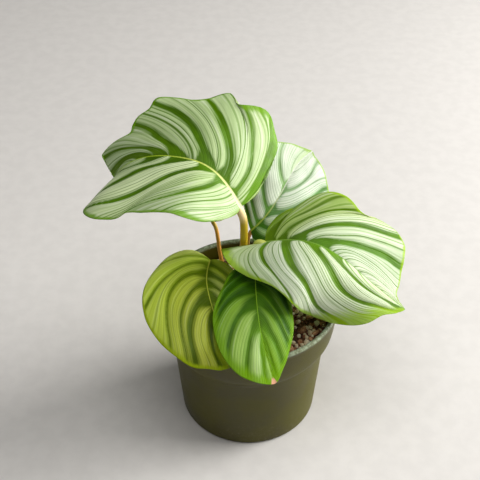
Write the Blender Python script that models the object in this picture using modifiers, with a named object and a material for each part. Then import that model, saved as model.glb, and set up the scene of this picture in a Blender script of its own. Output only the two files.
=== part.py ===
"""Potted calathea: six broad leaves on their stalks, the soil they stand in, and a round nursery pot.

Metres, +Z up. The origin is the middle of the pot's underside, +X is the right and -Y the front.
The tables below are in millimetres and degrees."""

import math
import random

import bmesh
import bpy
import numpy as np

MM = 0.001

# Pot
POT_TURNS = 64
LIP_RADIUS = 57.0
POT_HEIGHT = 91.0
BASE_RADIUS = 43.9
FLOOR = 2.0
COLLAR_FOOT = 66.0
NECK = 60.5
INNER_WALL = [(42.8, 3.4), (47.7, NECK), (51.2, COLLAR_FOOT + 0.5), (52.9, 72.0)]
DRAIN_COUNT = 6
DRAIN_RADIUS = 4.0
DRAIN_CIRCLE = 33.0

# Soil
SOIL_TURNS = 40
SOIL_TOP = 80.0
SOIL_RADIUS = 52.9
WALL_GAP = 0.35
STEM_GAP = 0.35
STEM_FOOT = 68.0
PERLITE_COUNT = 54
PERLITE_SIZE = (0.9, 1.6)
SEED = 7

# Blades
BLADE_THICKNESS = 0.8
BLADE_COLUMNS = 5
LAST_VEIN = 0.96
MIDRIB_POINTS = 271
LOBE_REACH = 0.35
RIB_REACH = 0.66
RIB_TIP = 0.6
RIB_TOP = 0.2
STALK_STEPS = 15
RIB_STEPS = 9

# A leaf's pairs give its left half first, seen from the stalk. Values in a row run from its base to its tip.
LEAVES = {
    "leaf_upper_left": dict(
        base=(-5.3, 5, 157),
        length=104,
        width=(44, 48),
        lobe=(0.03, 0.02),
        heading=(158, 160, 162),
        pitch=(62, 47, 5, -13, -36, -62),
        roll=(-12,),
        back=(50, 158),
        start=(0.35, 0.45),
        widest=(0.72, 0.42),
        spread=(0.95, 0.75),
        lift=((5, 5, 3, 9), (10, 10, 11, 35)),
        curl=((10, 10, 10, 0), (15, 15, 13, 0)),
        edge=(
            (
                (0.95, 0.99, 1.03, 1.06, 1.06, 1.02, 0.99, 0.98, 0.96, 0.98, 1.06)
                + (1.17, 1.28, 1.34, 1.33, 1.27, 1.07, 0.98, 0.95, 0.97, 1)
            ),
            (
                (1.02, 1.12, 1.24, 1.24, 1.27, 1.07, 1.25, 1.06, 1.0, 1.05, 1.09)
                + (0.97, 0.95, 0.91, 0.87, 0.98, 1.16, 1.14, 1.1, 1.03, 1)
            ),
        ),
        rise=((0, 0, -1, -2, -2, -4, 0, 6, 4, 1, 0), (0, 0, 3, -1, 1, 2, 0, -1, 2, 1, 0)),
        stalk=((-4.5, 11, STEM_FOOT), (-4.5, 11, 84), (-3.6, 9.6, 115), (-3.4, 6.4, 145)),
        thick=(2.5, 2.3),
        rows=30,
    ),
    "leaf_right": dict(
        base=(9.4, 3, 132),
        length=102,
        width=(43, 44),
        lobe=(0.02, 0.28),
        heading=(-16,),
        pitch=(22, 8, -24, -39, -38, -36),
        roll=(0,),
        back=(-22, 14),
        start=(0.45, 0.1),
        widest=(0.54, 0.46),
        spread=(0.75, 0.75),
        lift=((22,), (6, 6, -10, -5)),
        curl=((12,), (55, 72, 95, 70)),
        edge=(
            (
                (0.92, 0.82, 0.87, 0.97, 0.94, 0.83, 0.86, 0.97, 1.06, 1.12, 1.12)
                + (1.08, 0.99, 0.94, 0.9, 0.88, 0.86, 0.83, 0.82, 0.88, 1)
            ),
            (1.0, 0.92, 0.9, 1.0, 1.0, 1.0, 0.95, 0.92, 0.88, 0.95, 1),
        ),
        rise=((0, 0, 2, 0, -2, 0, 2, 0, -1, 0, 0), (0,)),
        stalk=((4.6, 6, STEM_FOOT), (4.6, 6, 84), (3.0, 6.5, 110), (4.2, 4.6, 129)),
        thick=(2.0, 1.8),
        rows=26,
    ),
    "leaf_lower_left": dict(
        base=(-24, 5.6, 115.5),
        length=76,
        width=(29, 40),
        lobe=(0.03, 0.1),
        heading=(-102, -79, -72, -70),
        pitch=(-6, -11, -22, -52),
        roll=(0,),
        back=(-6, -102),
        start=(0.45, 0.45),
        widest=(0.46, 0.44),
        spread=(0.75, 0.75),
        lift=((-3, -3, 10), (14, 8)),
        curl=((42, 35, 5), (35,)),
        edge=((1,), (0.97, 0.96, 1.03, 1.02, 1.0, 1.01, 1.03, 1.06, 1.02, 1.02, 1)),
        rise=((0,), (0,)),
        stalk=((-9.5, 3.5, STEM_FOOT), (-9.5, 3.5, 84), (-14, 4.2, 99)),
        thick=(1.7, 1.6),
        rows=22,
    ),
    "leaf_front": dict(
        base=(3.6, -1.5, 115),
        length=81,
        width=(23, 26),
        lobe=(0.05, 0.05),
        heading=(-90, -83, -61),
        pitch=(8, -10, -35, -58),
        roll=(0,),
        back=(8, -91),
        start=(0.45, 0.45),
        widest=(0.46, 0.46),
        spread=(0.75, 0.75),
        lift=((0,), (8,)),
        curl=((30,), (24,)),
        edge=(
            (1, 1, 0.98, 0.95, 0.97, 0.98, 0.97, 0.97, 0.97, 1, 1),
            (0.95, 0.88, 0.92, 1.02, 1.07, 1.1, 1.09, 1.04, 1.01, 1, 1),
        ),
        rise=((0,), (0,)),
        stalk=((0.5, -1.5, STEM_FOOT), (0.5, -1.5, 84), (1.4, -0.5, 99)),
        thick=(1.6, 1.5),
        rows=22,
    ),
    "leaf_rear_right": dict(
        base=(1.2, 23.5, 124),
        length=69,
        width=(32, 31),
        lobe=(-0.06, 0.1),
        heading=(30, 50, 60, 44),
        pitch=(30, 34, 22, 6),
        roll=(26,),
        back=(38, 44),
        start=(0.9, 0.45),
        widest=(0.5, 0.5),
        spread=(0.75, 0.75),
        lift=((10,), (10, 0)),
        curl=((10,), (20,)),
        edge=(
            (0.9, 0.95, 1, 1, 1, 0.94, 0.9, 0.9, 0.91, 0.95, 1),
            (1, 1, 1, 1, 1, 1.02, 1.06, 1.08, 1.03, 0.98, 1),
        ),
        rise=((0,), (0,)),
        stalk=((1.5, 15.5, STEM_FOOT), (1.5, 15.5, 84), (-0.3, 18, 103), (-0.6, 21.4, 118)),
        thick=(1.4, 1.2),
        rows=22,
    ),
    "leaf_rear_left": dict(
        base=(-21.5, 14, 139),
        length=58,
        width=(20, 22),
        lobe=(-0.04, 0.03),
        heading=(118, 132),
        pitch=(28, 10, -18),
        roll=(14, 8),
        back=(28, 118),
        start=(0.45, 0.45),
        widest=(0.46, 0.46),
        spread=(0.75, 0.75),
        lift=((5, 10), (5, 10)),
        curl=((20,), (20,)),
        edge=((1,), (1,)),
        rise=((0,), (0,)),
        stalk=((-13, 14.5, STEM_FOOT), (-13, 14.5, 84), (-17.6, 14.2, 110), (-19.9, 12.6, 133)),
        thick=(1.3, 1.15),
        rows=20,
    ),
}


def through(values, along):
    """A smooth curve through evenly spaced values, read at along, 0 to 1."""
    values = np.asarray(values, float)
    along = np.clip(np.asarray(along, float), 0, 1)
    if len(values) == 1:
        return np.full_like(along, values[0])
    padded = np.concatenate([[values[1]], values, [values[-2]]])
    place = along * (len(values) - 1)
    first = np.minimum(place.astype(int), len(values) - 2)
    part = place - first
    a, b, c, d = (padded[first + step] for step in range(4))
    bend = 2 * a - 5 * b + 4 * c - d
    return 0.5 * (2 * b + (c - a) * part + bend * part**2 + (3 * b - a - 3 * c + d) * part**3)


def midrib(leaf):
    """Distance along the midrib, and the point, forward, sideways and upward directions there."""
    share = np.linspace(-LOBE_REACH, 1, MIDRIB_POINTS)
    behind = np.clip(-share / LOBE_REACH, 0, 1) ** 1.6
    pitch = through(leaf["pitch"], share) + (leaf["back"][0] - leaf["pitch"][0]) * behind
    heading = through(leaf["heading"], share) + (leaf["back"][1] - leaf["heading"][0]) * behind
    pitch, heading = np.radians(pitch), np.radians(heading)
    roll = np.radians(through(leaf["roll"], share))[:, None]
    level = np.cos(pitch)
    forward = np.stack([level * np.cos(heading), level * np.sin(heading), np.sin(pitch)], -1)
    side = np.stack([-np.sin(heading), np.cos(heading), 0 * heading], -1)
    side = side * np.cos(roll) + np.cross(forward, side) * np.sin(roll)
    step = leaf["length"] * (share[1] - share[0])
    moved = np.cumsum((forward[1:] + forward[:-1]) / 2 * step, axis=0)
    point = np.concatenate([np.zeros((1, 3)), moved])
    at_base = np.stack([np.interp(0, share, point[:, axis]) for axis in range(3)])
    point = point - at_base + np.array(leaf["base"])
    return share * leaf["length"], point, forward, side, np.cross(forward, side)


def read_midrib(leaf, distance):
    place, *tracks = midrib(leaf)
    return [
        np.stack([np.interp(distance, place, track[:, axis]) for axis in range(3)], -1)
        for track in tracks
    ]


def flat_blade(leaf, half, vein, out):
    """Distance along and away from the midrib of the flat blade, at a vein and a share of its length."""
    length, lobe, wide = leaf["length"], leaf["lobe"][half], leaf["widest"][half]
    turn = leaf["start"][half] + (math.pi - leaf["start"][half]) * vein ** leaf["spread"][half]
    cosine, sine = np.cos(turn), np.abs(np.sin(turn))
    edge = through(leaf["edge"][half], vein)
    rear = -(wide + lobe) * cosine
    fore = -(1 - wide) * cosine
    margin_along = (wide + np.where(cosine > 0, rear, fore) * np.where(vein < 1, edge, 1)) * length
    margin_out = leaf["width"][half] * np.where(cosine > 0, sine**0.9, sine**1.3) * edge
    foot = LAST_VEIN * length * vein**1.4
    middle = foot + 0.25 * (margin_along - foot)
    middle = middle - 0.02 * length * (1 - vein) - lobe * length * 0.5 * (1 - vein) ** 4
    along = (1 - out) ** 2 * foot + 2 * out * (1 - out) * middle + out**2 * margin_along
    away = 2 * out * (1 - out) * 0.6 * margin_out + out**2 * margin_out
    return along, away


def blade_surface(leaf, half, vein, out):
    """Points of the bent and waved blade, for arrays of vein (0 base, 1 tip) and out (0 midrib, 1 margin)."""
    along, away = flat_blade(leaf, half, vein, out)
    point, _, side, up = read_midrib(leaf, along)
    share = np.clip(along / leaf["length"], 0, 1)
    lift = np.radians(through(leaf["lift"][half], share))
    curl = np.radians(through(leaf["curl"][half], share)) / leaf["width"][half]
    curl = np.maximum(curl, 1e-5)
    sideways = (np.sin(lift) - np.sin(lift - curl * away)) / curl
    upward = (np.cos(lift - curl * away) - np.cos(lift)) / curl
    upward = upward + through(leaf["rise"][half], vein) * out**2.5
    sign = 1 if half == 0 else -1
    return point + side * (sign * sideways)[..., None] + up * upward[..., None]


def clear_scene():
    for obj in list(bpy.data.objects):
        bpy.data.objects.remove(obj)


def new_collection(name, helper=False):
    collection = bpy.data.collections.new(name)
    bpy.context.scene.collection.children.link(collection)
    collection.hide_render = helper
    return collection


def link(obj, collection, helper=False):
    collection.objects.link(obj)
    if helper:
        obj.hide_render = True
        obj.display_type = "WIRE"
    return obj


def material(name, colour, roughness):
    made = bpy.data.materials.new(name)
    made.use_nodes = True
    shader = made.node_tree.nodes["Principled BSDF"]
    shader.inputs["Base Color"].default_value = (*colour, 1.0)
    shader.inputs["Roughness"].default_value = roughness
    return made


def object_from(name, points, edges=(), faces=()):
    mesh = bpy.data.meshes.new(name)
    mesh.from_pydata([tuple(point) for point in points], list(edges), list(faces))
    return bpy.data.objects.new(name, mesh)


def apply_modifiers(obj):
    bpy.context.view_layer.update()
    graph = bpy.context.evaluated_depsgraph_get()
    mesh = bpy.data.meshes.new_from_object(obj.evaluated_get(graph), depsgraph=graph)
    obj.modifiers.clear()
    obj.data = mesh


def remove_collection(collection):
    for obj in list(collection.objects):
        bpy.data.objects.remove(obj)
    bpy.data.collections.remove(collection)


def boolean(obj, operation, other):
    """Cuts or joins with an object, or with every object of a collection, and applies it."""
    modifier = obj.modifiers.new(operation.lower(), "BOOLEAN")
    modifier.operation = operation
    modifier.solver = "EXACT"
    if isinstance(other, bpy.types.Collection):
        modifier.operand_type = "COLLECTION"
        modifier.collection = other
    else:
        modifier.object = other
    apply_modifiers(obj)


def turned(name, profile, steps, collection):
    """A profile of (radius, height) turned about the pot's axis."""
    points = [(radius * MM, 0.0, height * MM) for radius, height in profile]
    edges = [(i, i + 1) for i in range(len(points) - 1)]
    obj = link(object_from(name, points, edges), collection)
    screw = obj.modifiers.new("turn", "SCREW")
    screw.steps = steps
    screw.render_steps = steps
    screw.use_merge_vertices = True
    screw.merge_threshold = 1e-5
    apply_modifiers(obj)
    return obj


def cylinder(name, centre, radius, bottom, top, sides, collection):
    mesh = bmesh.new()
    bmesh.ops.create_cone(
        mesh,
        cap_ends=True,
        segments=sides,
        radius1=radius * MM,
        radius2=radius * MM,
        depth=(top - bottom) * MM,
    )
    data = bpy.data.meshes.new(name)
    mesh.to_mesh(data)
    mesh.free()
    obj = bpy.data.objects.new(name, data)
    obj.location = (centre[0] * MM, centre[1] * MM, (top + bottom) / 2 * MM)
    return link(obj, collection, helper=True)


def build_pot(parts):
    inside = [(0, FLOOR), (41.4, FLOOR), *INNER_WALL, (54.0, 88.4)]
    lip = [(54.2, 90.2), (54.8, 90.9), (55.5, POT_HEIGHT), (56.3, 90.7), (LIP_RADIUS, 89.4)]
    under_lip = [(56.9, 88.4), (56.3, 87.7)]
    collar = [(55.3, 77.0), (54.4, 70.5), (53.0, COLLAR_FOOT), (49.3, NECK)]
    foot = [(44.5, 2.6), (BASE_RADIUS, 0.7), (43.1, 0.0), (0, 0.0)]
    pot = turned("pot", inside + lip + under_lip + collar + foot, POT_TURNS, parts)
    drains = new_collection("drain_cutters", helper=True)
    for number in range(DRAIN_COUNT):
        angle = 2 * math.pi * (number + 0.5) / DRAIN_COUNT
        centre = (DRAIN_CIRCLE * math.cos(angle), DRAIN_CIRCLE * math.sin(angle))
        cylinder(f"drain_{number}", centre, DRAIN_RADIUS, -3, FLOOR + 3, 20, drains)
    boolean(pot, "DIFFERENCE", drains)
    remove_collection(drains)
    pot.data.materials.clear()
    pot.data.materials.append(material("pot_green", (0.10, 0.13, 0.06), 0.45))


def soil_height(x, y):
    """The uneven top of the soil, in millimetres, level near the wall."""
    waves = 0.8 * math.sin(x / 6.5 + 0.4) * math.cos(y / 7.2 - 0.9)
    waves += 0.5 * math.sin(x / 3.3 - y / 4.1)
    return waves * min(1.0, max(0.0, (SOIL_RADIUS - 2 - math.hypot(x, y)) / 8))


def build_soil(parts):
    rings = [(radius, SOIL_TOP) for radius in (0, 5, 10, 15, 20, 25, 30, 35, 40, 44, 47.5, 50.5)]
    edge = [(SOIL_RADIUS - 0.3, SOIL_TOP - 0.5), (SOIL_RADIUS, SOIL_TOP - 1.5)]
    wall = [(radius - WALL_GAP, height + WALL_GAP) for radius, height in reversed(INNER_WALL)]
    foot = [(41.2, FLOOR + WALL_GAP), (0, FLOOR + WALL_GAP)]
    soil = turned("soil", rings + edge + wall + foot, SOIL_TURNS, parts)
    for vertex in soil.data.vertices:
        if vertex.co.z > (SOIL_TOP - 0.2) * MM:
            vertex.co.z += soil_height(vertex.co.x / MM, vertex.co.y / MM) * MM
    join_perlite(soil)
    holes = new_collection("stem_cutters", helper=True)
    for name, leaf in LEAVES.items():
        x, y, _ = leaf["stalk"][0]
        radius = leaf["thick"][0] + STEM_GAP
        cylinder(f"hole_{name}", (x, y), radius, STEM_FOOT - 0.5, SOIL_TOP + 6, 12, holes)
    boolean(soil, "DIFFERENCE", holes)
    remove_collection(holes)
    soil.data.materials.clear()
    soil.data.materials.append(material("soil_dark", (0.045, 0.028, 0.018), 0.95))


def join_perlite(soil):
    """Few-sided grains sunk into the top of the soil, clear of the stalks."""
    seeded = random.Random(SEED)
    stems = [leaf["stalk"][0] for leaf in LEAVES.values()]
    grains = new_collection("perlite_grains")
    placed = []
    while len(placed) < PERLITE_COUNT:
        reach = 48.5 * math.sqrt(seeded.random())
        angle = seeded.uniform(0, 2 * math.pi)
        size = seeded.uniform(*PERLITE_SIZE)
        x, y = reach * math.cos(angle), reach * math.sin(angle)
        near_stem = any(math.hypot(x - stem[0], y - stem[1]) < 6 for stem in stems)
        near_grain = any(math.hypot(x - other[0], y - other[1]) < 3.8 for other in placed)
        if near_stem or near_grain:
            continue
        placed.append((x, y))
        mesh = bmesh.new()
        bmesh.ops.create_icosphere(mesh, subdivisions=1, radius=size * MM)
        data = bpy.data.meshes.new("grain")
        mesh.to_mesh(data)
        mesh.free()
        grain = bpy.data.objects.new("grain", data)
        height = SOIL_TOP + soil_height(x, y) + 0.25 * size
        grain.location = (x * MM, y * MM, height * MM)
        grain.rotation_euler = (seeded.uniform(0, 3), seeded.uniform(0, 3), seeded.uniform(0, 3))
        grain.scale = (1.0, seeded.uniform(0.7, 1.0), seeded.uniform(0.7, 0.95))
        grains.objects.link(grain)
    boolean(soil, "UNION", grains)
    remove_collection(grains)


def build_blade(name, leaf, parts):
    """A grid whose rows follow the veins, bent to the leaf's form and thickened alike on both faces."""
    mesh = bmesh.new()
    bmesh.ops.create_grid(mesh, x_segments=2 * BLADE_COLUMNS, y_segments=leaf["rows"], size=1)
    places = np.array([vertex.co[:2] for vertex in mesh.verts])
    vein = np.clip((places[:, 1] + 1) / 2, 0, 1)
    out = np.clip(np.abs(places[:, 0]), 0, 1)
    halves = [blade_surface(leaf, half, vein, out) for half in (0, 1)]
    for vertex, place, left, right in zip(mesh.verts, places, *halves):
        vertex.co = (right if place[0] > 0 else left) * MM
    bmesh.ops.remove_doubles(mesh, verts=mesh.verts, dist=1e-5)
    bmesh.ops.triangulate(mesh, faces=mesh.faces)
    data = bpy.data.meshes.new(name)
    mesh.to_mesh(data)
    mesh.free()
    blade = link(bpy.data.objects.new(name, data), parts)
    solid = blade.modifiers.new("thickness", "SOLIDIFY")
    solid.thickness = BLADE_THICKNESS * MM
    solid.offset = 0
    apply_modifiers(blade)
    return blade


def stalk_path(leaf):
    """Points and radii of the stalk from the soil up, and on along the underside of the midrib."""
    foot, top = leaf["thick"]
    rib = np.linspace(0, RIB_REACH, RIB_STEPS + 1)
    rib_radii = RIB_TIP + (top - RIB_TIP) * (1 - rib / RIB_REACH) ** 0.8
    point, _, _, up = read_midrib(leaf, rib * leaf["length"])
    rib_points = point - up * (rib_radii - RIB_TOP)[:, None]
    knots = np.array([*leaf["stalk"], rib_points[0]])
    share = np.linspace(0, 1, STALK_STEPS + 1)[:-1]
    stalk_points = np.stack([through(knots[:, axis], share) for axis in range(3)], -1)
    stalk_radii = foot + (top - foot) * share
    return np.concatenate([stalk_points, rib_points]), np.concatenate([stalk_radii, rib_radii])


def build_stalk(name, leaf):
    points, radii = stalk_path(leaf)
    curve = bpy.data.curves.new(f"{name}_stalk", "CURVE")
    curve.dimensions = "3D"
    curve.bevel_depth = MM
    curve.bevel_resolution = 2
    curve.use_fill_caps = True
    spline = curve.splines.new("POLY")
    spline.points.add(len(points) - 1)
    for knot, point, radius in zip(spline.points, points, radii):
        knot.co = (*(point * MM), 1.0)
        knot.radius = radius
    obj = bpy.data.objects.new(f"{name}_stalk", curve)
    bpy.context.scene.collection.objects.link(obj)
    bpy.context.view_layer.update()
    mesh = bpy.data.meshes.new_from_object(obj)
    bpy.data.objects.remove(obj)
    welded = bmesh.new()
    welded.from_mesh(mesh)
    bmesh.ops.remove_doubles(welded, verts=welded.verts, dist=1e-6)
    bmesh.ops.recalc_face_normals(welded, faces=welded.faces)
    bmesh.ops.triangulate(welded, faces=welded.faces)
    welded.to_mesh(mesh)
    welded.free()
    return bpy.data.objects.new(f"{name}_stalk", mesh)


def build_leaf(name, leaf, parts, green):
    blade = build_blade(name, leaf, parts)
    stalk = link(build_stalk(name, leaf), parts, helper=True)
    boolean(blade, "UNION", stalk)
    bpy.data.objects.remove(stalk)
    blade.data.materials.clear()
    blade.data.materials.append(green)


def main():
    clear_scene()
    parts = new_collection("potted_calathea")
    build_pot(parts)
    build_soil(parts)
    for name, leaf in LEAVES.items():
        build_leaf(name, leaf, parts, material(f"{name}_green", (0.20, 0.34, 0.09), 0.4))


main()
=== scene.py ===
"""Looks of the potted calathea: six striped leaves on their stalks, potting mix with perlite, and a green
nursery pot.

The tables and lengths here are in millimetres and degrees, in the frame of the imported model, and MM turns
them into metres. Lights, noise scales and bump heights are in metres. A place on a blade is given by vein,
0 at the base to 1 at the tip, and out, 0 at the midrib to 1 at the margin. A leaf's pairs give its left half
first, seen from the stalk."""

import math
import random

import bmesh
import bpy
import numpy as np
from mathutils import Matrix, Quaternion, Vector, noise


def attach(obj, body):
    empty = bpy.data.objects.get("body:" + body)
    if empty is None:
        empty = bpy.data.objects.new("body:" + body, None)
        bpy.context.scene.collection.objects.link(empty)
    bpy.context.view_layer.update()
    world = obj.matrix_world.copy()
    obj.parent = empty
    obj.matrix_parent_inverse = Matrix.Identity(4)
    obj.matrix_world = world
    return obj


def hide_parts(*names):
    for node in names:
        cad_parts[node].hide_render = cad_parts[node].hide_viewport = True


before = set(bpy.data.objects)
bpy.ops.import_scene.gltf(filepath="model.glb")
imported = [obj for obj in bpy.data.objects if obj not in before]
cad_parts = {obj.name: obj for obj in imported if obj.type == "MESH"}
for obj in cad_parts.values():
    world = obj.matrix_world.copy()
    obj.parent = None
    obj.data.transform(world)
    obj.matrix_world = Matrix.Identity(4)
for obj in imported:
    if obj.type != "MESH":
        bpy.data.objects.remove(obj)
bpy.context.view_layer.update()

MM = 0.001

# Camera and light
CAMERA_PLACE = (-5.6, -453.1, 510.8)
CAMERA_PITCH = 39.6
CAMERA_LENS = 73.5
SENSOR_WIDTH = 36.0
LIGHT_TARGET = (0, 0, 120)
LIGHTS = {
    "window": dict(place=(1.3, 0.2, 0.75), size=1.0, power=25.0, colour=(1.0, 0.985, 0.96)),
    "side": dict(place=(1.1, 0.35, 0.22), size=0.5, power=9.5, colour=(1.0, 0.99, 0.97)),
    "overhead": dict(place=(0.0, -0.3, 1.6), size=1.3, power=14.5, colour=(1.0, 0.99, 0.98)),
}
SKY_COLOUR = (1.0, 0.99, 0.97, 1.0)
SKY_STRENGTH = 0.09
STAGE_REACH = 3.0
STAGE_HEIGHT = -0.0003

# Blades
LAST_VEIN = 0.96
MIDRIB_POINTS = 271
LOBE_REACH = 0.35
BLADE_ROWS = 104
VEINLET = 0.7
RIGHT_HALF = 2.0
BAND_POINT = 1.1
WIDEST_BAND = 5.0
FAR = 99.0
BLADE_THICKNESS = 0.45
GROOVE_DEPTH = 0.3
GROOVE_WIDTH = 1.1
QUILT_EDGE = 1.8
QUILT_START = 4.0
RIPPLE_HEIGHT = 0.25
LEAST_CURL = 1e-5
FINE_LINES = 44.0

# Powers of a blade's outline, its veins' feet, its lobes' bend and its margin's rise
REAR_ROUND = 0.9
FORE_ROUND = 1.3
VEIN_CROWDING = 1.4
LOBE_BEND = 1.6
EDGE_RISE = 2.5

# Where a vein's middle lies: ahead of its foot, set back, drawn into the lobe, and out to the side
VEIN_AHEAD = 0.25
VEIN_SET_BACK = 0.02
VEIN_IN_LOBE = 0.5
VEIN_OUT = 0.6

# Stalks and the ribs under the blades
STEM_FOOT = 68.0
RIB_REACH = 0.86
RIB_TIP = 0.35
STALK_SIDES = 18
STALK_RINGS = 60
RIB_RINGS = 34
JOINT_SWELL = 0.1

# Pot
POT_TURNS = 160
LIP_RADIUS = 57.0
POT_HEIGHT = 91.0
NECK = 60.5
INNER_WALL = [(42.8, 3.4), (47.7, NECK), (51.2, 66.5), (52.9, 72.0)]
BASE_RADIUS = 43.9
FLOOR = 2.0
DRAIN_COUNT = 6
DRAIN_RADIUS = 4.0
DRAIN_CIRCLE = 33.0

# Potting mix
SOIL_TOP = 80.0
SOIL_RADIUS = 52.9
SOIL_TURNS = 128
WALL_GAP = 0.35
SEED = 7
TRIES = 60
STALK_CLEARANCE = 4.5
FIBRE_COUNT = 46
FIBRE_POINTS = 9

# Grains: size and flat are ranges, of half the width and of the height's share of it. raised is how far the
# middle is above the soil, as a share of half the height.
GRAINS = {
    "soil_crumbs": dict(
        count=900, apart=1.4, size=(0.6, 1.5), flat=(0.6, 0.9), rough=0.5, detail=2, raised=0.2
    ),
    "soil_bark": dict(
        count=170, apart=4.0, size=(1.6, 3.0), flat=(0.25, 0.45), rough=0.5, detail=2, raised=1.2
    ),
    "perlite": dict(
        count=360, apart=2.6, size=(1.0, 2.1), flat=(0.7, 0.95), rough=0.35, detail=3, raised=0.45
    ),
}

# A dark and a light colour, and the scale of the mottle between them
MIX_TONES = {
    "bed": ((60, 38, 24), (132, 90, 60), 420.0),
    "crumb": ((90, 56, 36), (190, 134, 96), 300.0),
    "bark": ((150, 98, 64), (234, 184, 140), 260.0),
    "fibre": ((120, 84, 48), (160, 122, 78), 260.0),
}

# lobe is the share of the length that a half reaches behind the base. heading, pitch and roll turn the
# midrib from base to tip, and back is its pitch and heading under the lobes. start is the first vein's turn
# in radians, widest the place of the greatest width, and spread the power that spaces the veins. lift and
# curl, from base to tip, are how steeply a half leaves the midrib and how far it bends down. edge scales the
# margin's reach and rise lifts it. stalk is the stalk's course from under the soil, and thick its radii at
# foot and top.
LEAVES = {}
LEAVES["upper_left"] = dict(
    base=(-5.3, 5, 157),
    length=104,
    width=(44, 48),
    lobe=(0.03, 0.02),
    heading=(158, 160, 162),
    pitch=(62, 47, 5, -13, -36, -62),
    roll=(-12,),
    back=(50, 158),
    start=(0.35, 0.45),
    widest=(0.72, 0.42),
    spread=(0.95, 0.75),
    lift=((5, 5, 3, 9), (10, 10, 11, 35)),
    curl=((10, 10, 10, 0), (15, 15, 13, 0)),
    edge=([
        0.95, 0.99, 1.03, 1.06, 1.06, 1.02, 0.99, 0.98, 0.96, 0.98, 1.06, 1.17, 1.28, 1.34, 1.33,
        1.27, 1.07, 0.98, 0.95, 0.97, 1,
    ], [
        1.02, 1.12, 1.24, 1.24, 1.27, 1.07, 1.25, 1.06, 1.0, 1.05, 1.09, 0.97, 0.95, 0.91, 0.87,
        0.98, 1.16, 1.14, 1.1, 1.03, 1,
    ]),
    rise=((0, 0, -1, -2, -2, -4, 0, 6, 4, 1, 0), (0, 0, 3, -1, 1, 2, 0, -1, 2, 1, 0)),
    stalk=((-4.5, 11, STEM_FOOT), (-4.5, 11, 84), (-3.6, 9.6, 115), (-3.4, 6.4, 145)),
    thick=(2.5, 2.3),
)
LEAVES["right"] = dict(
    base=(9.4, 3, 132),
    length=102,
    width=(43, 44),
    lobe=(0.02, 0.28),
    heading=(-16,),
    pitch=(22, 8, -24, -39, -38, -36),
    roll=(0,),
    back=(-22, 14),
    start=(0.45, 0.1),
    widest=(0.54, 0.46),
    spread=(0.75, 0.75),
    lift=((22,), (6, 6, -10, -5)),
    curl=((12,), (55, 72, 95, 70)),
    edge=([
        0.92, 0.82, 0.87, 0.97, 0.94, 0.83, 0.86, 0.97, 1.06, 1.12, 1.12, 1.08, 0.99, 0.94, 0.9,
        0.88, 0.86, 0.83, 0.82, 0.88, 1,
    ], [
        1.0, 0.92, 0.9, 1.0, 1.0, 1.0, 0.95, 0.92, 0.88, 0.95, 1,
    ]),
    rise=((0, 0, 2, 0, -2, 0, 2, 0, -1, 0, 0), (0,)),
    stalk=((4.6, 6, STEM_FOOT), (4.6, 6, 84), (3.0, 6.5, 110), (4.2, 4.6, 129)),
    thick=(2.0, 1.8),
)
LEAVES["lower_left"] = dict(
    base=(-24, 5.6, 115.5),
    length=76,
    width=(29, 40),
    lobe=(0.03, 0.1),
    heading=(-102, -79, -72, -70),
    pitch=(-6, -11, -22, -52),
    roll=(0,),
    back=(-6, -102),
    start=(0.45, 0.45),
    widest=(0.46, 0.44),
    spread=(0.75, 0.75),
    lift=((-3, -3, 10), (14, 8)),
    curl=((42, 35, 5), (35,)),
    edge=((1,), (0.97, 0.96, 1.03, 1.02, 1.0, 1.01, 1.03, 1.06, 1.02, 1.02, 1)),
    rise=((0,), (0,)),
    stalk=((-9.5, 3.5, STEM_FOOT), (-9.5, 3.5, 84), (-14, 4.2, 99)),
    thick=(1.7, 1.6),
)
LEAVES["front"] = dict(
    base=(3.6, -1.5, 115),
    length=81,
    width=(23, 26),
    lobe=(0.05, 0.05),
    heading=(-90, -83, -61),
    pitch=(8, -10, -35, -58),
    roll=(0,),
    back=(8, -91),
    start=(0.45, 0.45),
    widest=(0.46, 0.46),
    spread=(0.75, 0.75),
    lift=((0,), (8,)),
    curl=((30,), (24,)),
    edge=([
        1, 1, 0.98, 0.95, 0.97, 0.98, 0.97, 0.97, 0.97, 1, 1,
    ], [
        0.95, 0.88, 0.92, 1.02, 1.07, 1.1, 1.09, 1.04, 1.01, 1, 1,
    ]),
    rise=((0,), (0,)),
    stalk=((0.5, -1.5, STEM_FOOT), (0.5, -1.5, 84), (1.4, -0.5, 99)),
    thick=(1.6, 1.5),
)
LEAVES["rear_right"] = dict(
    base=(1.2, 23.5, 124),
    length=69,
    width=(32, 31),
    lobe=(-0.06, 0.1),
    heading=(30, 50, 60, 44),
    pitch=(30, 34, 22, 6),
    roll=(26,),
    back=(38, 44),
    start=(0.9, 0.45),
    widest=(0.5, 0.5),
    spread=(0.75, 0.75),
    lift=((10,), (10, 0)),
    curl=((10,), (20,)),
    edge=([
        0.9, 0.95, 1, 1, 1, 0.94, 0.9, 0.9, 0.91, 0.95, 1,
    ], [
        1, 1, 1, 1, 1, 1.02, 1.06, 1.08, 1.03, 0.98, 1,
    ]),
    rise=((0,), (0,)),
    stalk=((1.5, 15.5, STEM_FOOT), (1.5, 15.5, 84), (-0.3, 18, 103), (-0.6, 21.4, 118)),
    thick=(1.4, 1.2),
)
LEAVES["rear_left"] = dict(
    base=(-21.5, 14, 139),
    length=58,
    width=(20, 22),
    lobe=(-0.04, 0.03),
    heading=(118, 132),
    pitch=(28, 10, -18),
    roll=(14, 8),
    back=(28, 118),
    start=(0.45, 0.45),
    widest=(0.46, 0.46),
    spread=(0.75, 0.75),
    lift=((5, 10), (5, 10)),
    curl=((20,), (20,)),
    edge=((1,), (1,)),
    rise=((0,), (0,)),
    stalk=((-13, 14.5, STEM_FOOT), (-13, 14.5, 84), (-17.6, 14.2, 110), (-19.9, 12.6, 133)),
    thick=(1.3, 1.15),
)

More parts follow.
